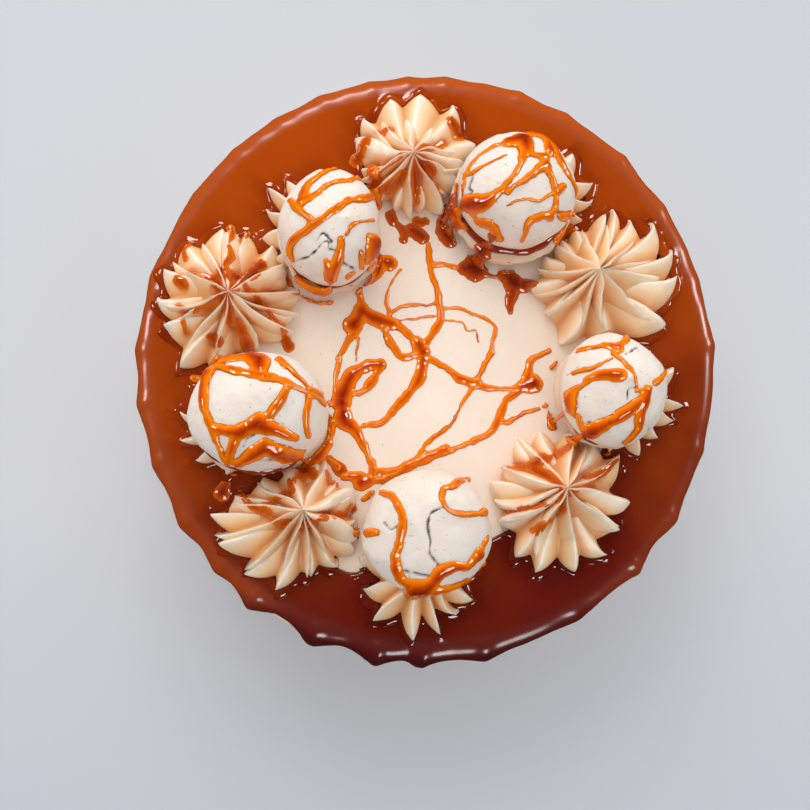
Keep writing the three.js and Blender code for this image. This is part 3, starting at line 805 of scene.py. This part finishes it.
def cream_body(material, columns=320):
    low_end = SHOULDER_ARC + GLAZE_FLOOR - SHOULDER - FOOT_ROUND
    side = np.linspace(low_end, SIDE_START + 0.75, 40)
    shoulder = np.linspace(SIDE_START, 0.6, 12)
    top = -np.linspace(0, 1, 62) ** 0.9 * (BODY_RADIUS - SHOULDER - 2)
    angle, along = np.meshgrid(full_turn(columns), np.concatenate([side, shoulder, top]))
    rings = body_skin(angle, along)
    height = rings[..., 2]
    on_top = np.clip((height - GLAZE_FLOOR + 3) / 3, 0, 1)
    relief = body_relief(rings)
    out = unit(rings[..., :2])
    # Marks of the scraper run round the side: 4 mm long and 2.2 mm high
    banded = np.stack([angle * 26, height / 2.2], axis=-1)
    side_relief = rough(rings, (0.3, 21, 5)) + rough(banded, (0.14, 1, 6))
    rings[..., 2] += relief * on_top
    rings[..., :2] += out * (side_relief * (1 - on_top))[..., None]
    # The foot's rounding: two rings below the lowest, each a way in and at a height
    foot = [np.dstack([rings[:1, :, :2] - out[:1] * inset, np.full((1, columns), level)])
            for inset, level in ((FOOT_ROUND, 0), (0.4, 0.45))]
    rings = np.concatenate(foot + [rings])
    return piece("cream_body", *shell(rings, [0, 0, 0], rings[-1].mean(axis=0)),
                 "cream_coat", material, "cake_body")


# ---- piped rosettes

def rosette_tip(name):
    low, high = box_mm(name)
    return (low[:2] + high[:2]) / 2 + ROSETTES[name][0]


def star_rings(tip, high, blades, crest, groove, random, rows=46, per_blade=18):
    """Rings of a piped star: sharp or blunt crests with hollow grooves, drawn in to a tip.

    Also returns the tip and how hollow each place is. Every blade differs a little in how
    sharp, deep, bowed, curled and lifted it is."""
    count = len(blades)
    blades = np.array([blade + PLAIN_BLADE[len(blade) - 2:] for blade in blades], float)
    angles, reaches = np.radians(blades[:, 0]), blades[:, 1]
    shares = np.linspace(0, 1, rows)
    crest, groove = spline(crest, shares), spline(groove, shares)
    part = np.tile(np.arange(per_blade) / per_blade, count)
    left = np.repeat(np.arange(count), per_blade)
    right = (left + 1) % count
    gap = (angles[right] - angles[left]) % (2 * math.pi)
    middle = angles[left] + gap / 2
    # Where between two crests the groove lies, as a share of the gap
    lowest = np.clip(0.5 - FOLD * np.cos(middle) + random.uniform(-0.1, 0.1, count)[left], 0.15, 0.85)
    near = np.where(part < lowest, left, right)
    angle = angles[left] + gap * part
    blend = smoothstep(part)
    reach = between(reaches[left], reaches[right], blend)

    # How much each place belongs to its crest: 1 on the crest, 0 in the groove
    edge = np.where(part < lowest, 1 - part / lowest, (part - lowest) / (1 - lowest))
    edge = np.clip(1 - (np.hypot(1 - edge, CREST_ROUND) - CREST_ROUND), 0, 1)
    blunt = np.clip(blades[:, 2] + random.uniform(-0.1, 0.1, count), 0, 1)[near]
    weight = (1 - blunt) * edge ** random.uniform(1.4, 2.2, count)[near]
    weight = weight + blunt * (0.5 - 0.5 * np.cos(math.pi * np.minimum(1.3 * edge, 1))) ** 0.62
    depth = random.uniform(0.85, 1.25, count)[left]
    bow = np.radians(blades[:, 3] + random.uniform(-3, 3, count))
    bow = between(bow[left], bow[right], blend)
    curl = (0.13 * np.cos(angles) + random.uniform(-0.07, 0.07, count))[near] * weight ** 2.5
    lift = random.uniform(-0.05, 0.06, count)[near] * weight

    # Reaches grow alike towards the tip
    share = shares[:, None]
    even = smoothstep(share * 1.3)
    side = between(crest[:, None], groove[:, None], ((1 - weight) * depth)[:, None])
    out = np.maximum(side[..., 0], 0) * between(reach, reaches.mean(), even)
    height = side[..., 1] + lift * np.sin(math.pi * share)
    sway = random.uniform(0.5, 1.3, count)[near]
    sway = sway * np.sin(2.2 * math.pi * share + random.uniform(0, 6.3, count)[near])
    turn = angle + bow * np.sin(math.pi * share) + curl * (1 - share) ** 3
    turn = turn + sway * weight / np.maximum(out, 5)
    level = ROSETTE_FLOOR + height * (high - ROSETTE_FLOOR)
    rings = np.dstack([tip + out[..., None] * heading(turn), level])[:-1]
    turn, out, share = turn[:-1], out[:-1], share[:-1]
    wave = rough(rings, (0.6, 7, 8)) * (0.3 + 0.7 * weight) + rough(rings, (0.28, 2.2, 7)) * weight ** 3
    wave = wave * np.clip(out / 9, 0, 1)
    rings[..., :2] += wave[..., None] * heading(turn)
    rings[1:, :, 2] += 0.7 * wave[1:]
    # How hollow each place is; it sets the painted shade in the grooves and helps set where caramel soaks
    # in.
    hollow = (1 - weight) * (1 - 0.8 * smoothstep((share - 0.5) / 0.5))
    return rings, [*tip, ROSETTE_FLOOR + (high - ROSETTE_FLOOR) * crest[-1, 1]], hollow


def soaked_in(points, tip, hollow):
    """How much caramel colours each point of a rosette: most in its grooves under the drizzle."""
    depth = np.full(len(points), FAR_OUT)
    for path in DRIZZLE["rosettes"]:
        if math.dist(path[0, :2], tip) < LONGEST_REACH:
            depth = np.maximum(depth, path[:, 2].max() - distance_to_path(points, path[:, :2], 0.6))
    return smoothstep((depth + 2.2) / 2.8) * (0.25 + 0.75 * hollow)


def rosette(name, material):
    """Builds one rosette, and also returns its outline where it stands in the glaze."""
    random = np.random.default_rng(int(name[-2:]))
    tip, high = rosette_tip(name), box_mm(name)[1][2]
    lower, upper = ROSETTES[name][1:]
    tiers = [(lower, PRESSED_CREST, PRESSED_GROOVE)]
    if upper:
        tiers = [(lower, SKIRT_CREST, SKIRT_GROOVE), (upper, STAR_CREST, STAR_GROOVE)]
    shells, grooves, outlines = [], [], []
    for blades, crest, groove in tiers:
        rings, top, hollow = star_rings(tip, high, sorted(blades), crest, groove, random)
        shells.append(shell(rings, [*tip, rings[0, 0, 2]], top))
        grooves += [hollow.ravel(), [1, 0]]
        outlines.append(rings[3])
    points, faces = joined(shells)
    groove = np.concatenate(grooves)
    made = piece("piped_" + name, points, faces, "piped_cream", material, name,
                 groove=groove, stain=soaked_in(points, tip, groove))
    return made, outlines[0]


# ---- baked meringues

def meringue_rings(name, rows=82, columns=224):
    """Rings of a meringue from foot to peak, the points that close them at the top and foot,
    and how cracked each place is and how much tan colours it."""
    low, high = box_mm(name)
    peak, nub, swell, towards = MERINGUES[name]
    seed = int(name[-2:])
    middle, half = (low + high) / 2, (high - low) / 2
    side = spline(MERINGUE_SIDE, np.linspace(0, 1, rows))[:-1]
    angle = full_turn(columns)
    across, height = side[:, :1], side[:, 1:]
    plan = middle[:2] + across[..., None] * half[:2] * heading(angle) + peak * (height ** 3)[..., None]
    level = low[2] + height * (high[2] - low[2] - NUB_HEIGHT) + 0 * angle
    rings = np.dstack([plan, level])
    rings[..., 2] += NUB_HEIGHT * np.exp(-(away(plan - middle[:2] - peak) / nub) ** 2)
    facing = np.clip(0.3 + 0.7 * np.cos(angle - math.radians(towards)), 0, 1)
    below = smoothstep((FOOT_GROOVE - height) / 0.04)
    trench = np.exp(-((height - FOOT_GROOVE) / 0.035) ** 2)
    ragged = rough(rings, (1.2, 4, seed + 5), (0.5, 1.5, seed + 6))
    spread = (swell + ragged) * facing * below - TRENCH_DEPTH * facing * trench
    rings[..., :2] += spread[..., None] * heading(angle)
    out = unit(rings - (middle - [0, 0, 4]))
    lumps = rough(rings, (0.7, 11, seed), (0.22, 3.4, seed + 1), (0.07, 1.1, seed + 2))
    crack = np.zeros(rings.shape[:2])
    for number, path in enumerate(CRACKS[name]):
        gap = distance_to_path(rings, path) + rough(rings, (0.3, 1.6, 40 + number))
        crack = np.maximum(crack, np.exp(-(gap / CRACK_WIDTH) ** 2) * (rings[..., 2] > middle[2] - 6))
    rings = rings + out * (lumps - SHELL_INSET - CRACK_DEPTH * crack)[..., None]
    # Tan towards the foot, most on the side where the foot stands out.
    tan = 0.35 + 0.4 * facing + rough(rings, (0.3, 4, seed + 9))
    tan = (1 - smoothstep((height - 0.1) / 0.34)) * tan
    return rings, [*(middle[:2] + peak), high[2] - SHELL_INSET], [*middle[:2], low[2]], crack, tan


def meringue(name, material):
    rings, top, foot, crack, tan = meringue_rings(name)
    return piece("baked_" + name, *shell(rings, foot, top), "baked_meringue", material, name,
                 crack=np.append(crack, [0, 0]), tan=np.append(tan, [0, 0]))


# ---- caramel glaze

def drip_depth(angle, along):
    """Distance in from the edge of the cap and its drips, and the bulge there."""
    ring = heading(angle) * BODY_RADIUS
    depth = CAP_REACH + rough(ring, (1.3, 19, 11), (0.5, 6, 12)) - along
    bulge = np.full(depth.shape, CAP_BULGE)
    for number, (direction, half, swell, length) in enumerate(DRIPS):
        offset = np.radians(turned_from(angle, direction)) * BODY_RADIUS
        offset = offset + 0.5 * np.sin(along / 7 + number * 1.7)
        width = math.radians(half) * BODY_RADIUS * 0.6
        end = SHOULDER_ARC + length - SHOULDER - width * 0.8
        down = np.clip(along / end, 0, 1)
        root = 1 - smoothstep((along - 4) / 9)
        waist = 0.34 * np.sin(math.pi * down ** 0.8)
        stem = width * (1 + 0.5 * root - waist + 0.06 * np.sin(along / 4 + number))
        drop = stem - np.hypot(offset, np.maximum(along - end, 0))
        depth = soft_union(depth, drop, DRIP_FILLET)
        strength = smoothstep((drop + 5) / 8) * smoothstep((along + 3) / 6)
        # Drips at the front stand out more, and every drip does so most along its middle
        front = np.clip(-np.sin(math.radians(direction)) * 1.6, 0, 1)
        peaked = 0.55 + 0.1 * front + (0.3 + 0.15 * front) * np.exp(-(offset / (0.5 * width)) ** 2)
        head = peaked + 0.3 * smoothstep((down - 0.6) / 0.4)
        bulge = bulge + (swell * head - CAP_BULGE) * strength * (bulge <= CAP_BULGE + 1e-6)
    return depth, bulge


def inner_edge(angle):
    """How far from the middle the glaze starts."""
    bare = BARE_REACH * np.exp(-(turned_from(angle, BARE_DIRECTION) / BARE_SPREAD) ** 4)
    return GLAZE_INNER + 2.0 + rough(heading(angle) * GLAZE_INNER, (1.5, 14, 13)) + bare


def depth_beside(points, outline, centre):
    """Distance outside a closed outline that is star-shaped about its centre."""
    offset, rim = points[:, :2] - centre, outline[:, :2] - centre
    distance = away(offset) - reach_at(outline, centre, bearing(offset))
    close = np.flatnonzero(np.abs(distance) < 9)
    for chunk in np.array_split(close, len(close) // 4000 + 1):
        gaps = np.linalg.norm(offset[chunk][:, None, :] - rim[None, :, :], axis=2).min(axis=1)
        distance[chunk] = np.sign(distance[chunk]) * gaps
    return distance


def caramel_glaze(material, outlines, columns=680):
    """The glaze's ring, cap and drips, clear of the rosettes, with where its rim and shoulder are
    and the painted shade beside the rosettes."""
    along = [np.linspace(-39, -0.8, 46), np.linspace(0, 7.2, 10), np.linspace(SIDE_START, 46, 48)]
    angle, along = np.meshgrid(full_turn(columns), np.concatenate(along))
    grid = body_skin(angle, along)
    normals = -grid_normals(grid, True).reshape(-1, 3)
    points = grid.reshape(-1, 3)
    outer, bulge = (values.ravel() for values in drip_depth(angle, along))
    rim = smoothstep((along.ravel() + 5) / 9)
    inner = away(points) - inner_edge(angle.ravel())
    for centre, outline in outlines:
        inner = np.minimum(inner, depth_beside(points, outline, centre) + 0.5)
    inner[along.ravel() >= 4] = NO_EDGE
    rise = between(GLAZE_DEPTH + rough(points, (0.1, 15, 14)), bulge, rim)
    rise *= np.minimum(rounded(outer, GLAZE_EDGE), rounded(inner, INNER_EDGE))
    rise += LIP * np.exp(-((inner - 1.7) / 1.25) ** 2) * (0.6 + rough(points, (0.6, 4, 15)))
    faces = grid_faces(*angle.shape, flip=True)
    made, faces = coat(points, normals, faces, np.minimum(outer, inner), rise, GLAZE_SINK)[:2]
    reach = away(made) - (BODY_RADIUS - SHOULDER - 4)
    beside = np.min([depth_beside(made, outline, centre) for centre, outline in outlines], axis=0)
    # Painted shade beside the rosettes, fading out over about 6 mm.
    pooled = np.exp(-np.maximum(beside, 0) / 6) * (0.75 + rough(made, (0.45, 9, 16))) * (reach < 5)
    shoulder = smoothstep((reach - 1) / 3) * smoothstep((made[:, 2] - GLAZE_FLOOR + 8) / 5)
    return piece("dripping_glaze", made, faces, "caramel", material, "caramel_glaze",
                 rim=np.clip((reach - 3) / 7, 0, 1) ** 1.4, pooled=pooled, shoulder=shoulder)


def collars(material, outlines, count=190, sides=9):
    """Beads of caramel drawn up against the rosettes, where they stand in the glaze."""
    parts = []
    turn = full_turn(count)
    out = heading(turn)
    for centre, outline in outlines:
        reach = reach_at(outline, centre, turn)
        for _ in range(3):
            reach = np.maximum(reach, (np.roll(reach, 1) + reach + np.roll(reach, -1)) / 3)
        rim = centre + reach[:, None] * out
        thick = COLLAR_THICKNESS + rough(rim, (1.1, 3.6, 61))
        line = rim + (0.7 * thick + rough(rim, (0.3, 2.5, 62)))[:, None] * out
        inside = away(line) < inner_edge(bearing(line)) + 0.5
        thick = np.where(inside, 0.05, np.maximum(thick, 0.3))
        ring = tube(line, out, thick, COLLAR_LEVEL - 0.6 * inside[:, None], COLLAR_SQUASH, sides)
        parts.append((ring.reshape(-1, 3), grid_faces(count, sides, round_rows=True, flip=True).tolist()))
    points, faces = joined(parts)
    # Painted shade darkens the beads here and there.
    piece("glaze_collars", points, faces, "caramel", material, rim=0.0,
          pooled=np.clip(0.5 + rough(points, (0.6, 8, 17)), 0, 1), shoulder=0.0)


# ---- caramel drizzle

def span(place, reach, start):
    """The rows or columns of a plan grid within reach of a place."""
    first, last = int((place - reach - start) / SPACING), int((place + reach - start) / SPACING)
    return slice(max(0, first), max(0, last + 2))


def pour_depth(grid, pours, fullness):
    """Distance in from the edge of all the strands poured over a plan grid."""
    total = np.full(grid.shape[:2], FAR_OUT)
    for number, path in enumerate(pours):
        line = smooth_line(path, 0.3, 3)
        plan, half = line[:, :2], line[:, 2]
        plan += WANDER * np.stack([noise(plan, 2.6, 50), noise(plan, 2.6, 51)], axis=-1)
        full = np.maximum(half * fullness - TRIM, THINNEST)
        half[:] = full * (1 + rough(plan, (0.22, 3.4, 52 + number)))
        one = np.full(total.shape, FAR_OUT)
        for x, y, width in line:
            near = span(y, width + 2.5, grid[0, 0, 1]), span(x, width + 2.5, grid[0, 0, 0])
            one[near] = np.maximum(one[near], width - away(grid[near] - (x, y)))
        total = soft_union(total, one, STRAND_FILLET)
    return total + rough(grid, (0.2, 1.4, 53))


def neighbours(values):
    """Sums over each place and its neighbours, weighted 1, 2, 1 both ways."""
    for axis in (0, 1):
        values = np.roll(values, 1, axis) + 2 * values + np.roll(values, -1, axis)
    return values


def draped(grid, wanted, tree):
    """Heights of the surface under a plan grid's wanted places, softened a little."""
    heights = np.zeros(wanted.shape)
    known = np.zeros(wanted.shape)
    for place in zip(*np.nonzero(wanted)):
        hit = tree.ray_cast(Vector((*grid[place], 150)), Vector((0, 0, -1)))[0]
        if hit:
            heights[place], known[place] = hit.z, 1
    weight = np.maximum(neighbours(known), 1)
    for _ in range(3):
        heights = neighbours(heights) / weight * known
    return np.where(known, heights, CAKE_TOP)


def drizzle(name, tree, material, height=STRAND_HEIGHT, fullness=FULLNESS):
    """Lays the strands of one name over what lies under them, as a thin layer."""
    pours = DRIZZLE[name]
    plan = np.vstack(pours)[:, :2]
    low, high = plan.min(axis=0) - 7, plan.max(axis=0) + 7
    grid = np.dstack(np.meshgrid(*(np.arange(a, b, SPACING) for a, b in zip(low, high))))
    depth = pour_depth(grid, pours, fullness)
    heights = draped(grid, depth > -2.0, tree)
    grid = np.dstack([grid, heights])
    normals = grid_normals(grid, False)
    normals *= np.sign(normals[..., 2:])
    slope = np.hypot(*np.gradient(heights, SPACING))
    depth = depth - 2 * smoothstep((slope - STEEP) / 3)
    rise = height * rounded(depth, STRAND_EDGE) * (1 + 0.6 * np.clip(depth, 0, 3))
    quads = grid_faces(*depth.shape, False)
    made, faces, inward = coat(grid.reshape(-1, 3), normals.reshape(-1, 3), quads,
                               depth.ravel(), rise.ravel(), STRAND_SINK)
    piece("drizzle_" + name, made, faces, "caramel", material, inward=inward)


def groove_beads(material, count=90, sides=8):
    """Dark caramel that has gathered in the grooves over the meringues' feet."""
    parts = []
    to_end = np.minimum(np.arange(count), np.arange(count)[::-1])
    ends = np.sqrt(np.clip(to_end / 12, 0.02, 1))
    for name, (first, last, thickness) in GATHERED.items():
        rings, _, foot = meringue_rings(name)[:3]
        level = foot[2] + BEAD_HEIGHT
        ring = rings[np.argmin(np.abs(rings[:, 0, 2] - level))]
        turn = np.radians(np.linspace(first, last, count))
        out = heading(turn)
        line = foot[:2] + (reach_at(ring, foot[:2], turn) + 0.3)[:, None] * out
        thick = thickness * ends * (1 + rough(line, (0.3, 5, 71)))
        points = tube(line, out, thick, level, BEAD_SQUASH, sides).reshape(-1, 3)
        caps = [list(range(sides)), list(range(len(points) - 1, len(points) - sides - 1, -1))]
        parts.append((points, grid_faces(count, sides, flip=True).tolist() + caps))
    piece("gathered_caramel", *joined(parts), "caramel", material, inward=2.6)


# ---- the cake

def cake():
    piped, baked, glazed = piped_cream_material(), meringue_material(), glaze_material()
    surfaces = [cream_body(cream_coat_material())]
    outlines = []
    for name in ROSETTES:
        made, outline = rosette(name, piped)
        surfaces.append(made)
        outlines.append((rosette_tip(name), outline))
    surfaces += [meringue(name, baked) for name in MERINGUES]
    surfaces.append(caramel_glaze(glazed, outlines))
    collars(glazed, outlines)
    points, faces = joined(surfaces)
    tree = BVHTree.FromPolygons(points.tolist(), faces)
    strands, soaked, pool = (caramel_material("caramel_" + name, stops) for name, stops in CARAMELS.items())
    groove_beads(pool)
    drizzle("pools", tree, pool)
    drizzle("rosettes", tree, soaked, SOAKED_HEIGHT)
    drizzle("centre", tree, strands, fullness=CENTRE_FULLNESS)
    for name in MERINGUES:
        drizzle(name, tree, strands)


# ---- floor, light and camera

def floor(half=6):
    mesh = bpy.data.meshes.new("floor")
    corners = [(-half, -half, 0), (half, -half, 0), (half, half, 0), (-half, half, 0)]
    mesh.from_pydata(corners, [], [(0, 1, 2, 3)])
    nodes = Surface("floor", 0.6)
    # Painted shade: the floor grows darker towards the front, and a little darker towards the back.
    share = nodes.line(nodes.axes()["Y"], 2.2, nodes.line(nodes.noise(3), 0.1, 0.5))
    mesh.materials.append(nodes.finish(nodes.ramp(share, {
        0.1: (190, 193, 199), 0.45: (206, 207, 212), 1: (197, 199, 204)})))
    made = bpy.data.objects.new("floor", mesh)
    made.visible_glossy = False
    bpy.context.scene.collection.objects.link(made)


def area_light(name, place, size, power, colour=(1, 1, 1)):
    """A square soft light that faces the middle of the cake's top."""
    lamp = bpy.data.lights.new(name, "AREA")
    lamp.size = size
    lamp.energy = power
    lamp.color = colour
    made = bpy.data.objects.new(name, lamp)
    made.location = place
    aim = Vector((0, 0, CAKE_TOP * MM)) - Vector(place)
    made.rotation_euler = aim.to_track_quat("-Z", "Y").to_euler()
    bpy.context.scene.collection.objects.link(made)
    return made


def room():
    """A pale room that is brightest overhead and at the back left, much dimmer in reflections."""
    world = bpy.data.worlds.new("world")
    world.use_nodes = True
    nodes = Nodes(world.node_tree, "Generated")
    slope = nodes.add("ShaderNodeVectorMath", operation="DOT_PRODUCT")
    nodes.feed_all(slope, {0: nodes.place, 1: ROOM_SLOPE})
    matt = nodes.math("MAXIMUM", nodes.math("ADD", slope.outputs["Value"], ROOM_LIGHT), ROOM_DARKEST)
    glossy = nodes.add("ShaderNodeLightPath").outputs["Is Glossy Ray"]
    level = nodes.add("ShaderNodeMapRange")
    nodes.feed_all(level, {"Value": glossy, "To Min": matt, "To Max": ROOM_REFLECTION})
    nodes.feed_all(world.node_tree.nodes["Background"], {
        "Color": ROOM_COLOUR, "Strength": level.outputs["Result"]})
    bpy.context.scene.world = world


def lights():
    """A window's soft light, and small ones that show only as highlights."""
    area_light("window", (-0.3, 0.9, 0.9), 0.9, WINDOW_POWER, (1.0, 0.98, 0.95)).visible_glossy = False
    for number, (place, size, power) in enumerate(GLINTS):
        area_light("glint_%d" % number, place, size, power).visible_diffuse = False


def camera():
    """Looks almost straight down, leaning a little from the front left."""
    lean = Vector(CAMERA_LEAN).normalized() * math.sin(CAMERA_TILT)
    view = Vector((*lean, -math.cos(CAMERA_TILT)))
    right = view.cross(Vector((0, 1, 0))).normalized()
    lens = bpy.data.cameras.new("camera")
    lens.lens = 50
    lens.sensor_width = 36
    made = bpy.data.objects.new("camera", lens)
    turn = Matrix((right, right.cross(view), -view)).transposed().to_4x4()
    made.matrix_world = Matrix.Translation(CAMERA_PLACE) @ turn
    bpy.context.scene.collection.objects.link(made)
    bpy.context.scene.camera = made


cake()
floor()
room()
lights()
camera()
bpy.context.scene.view_settings.view_transform = "Standard"
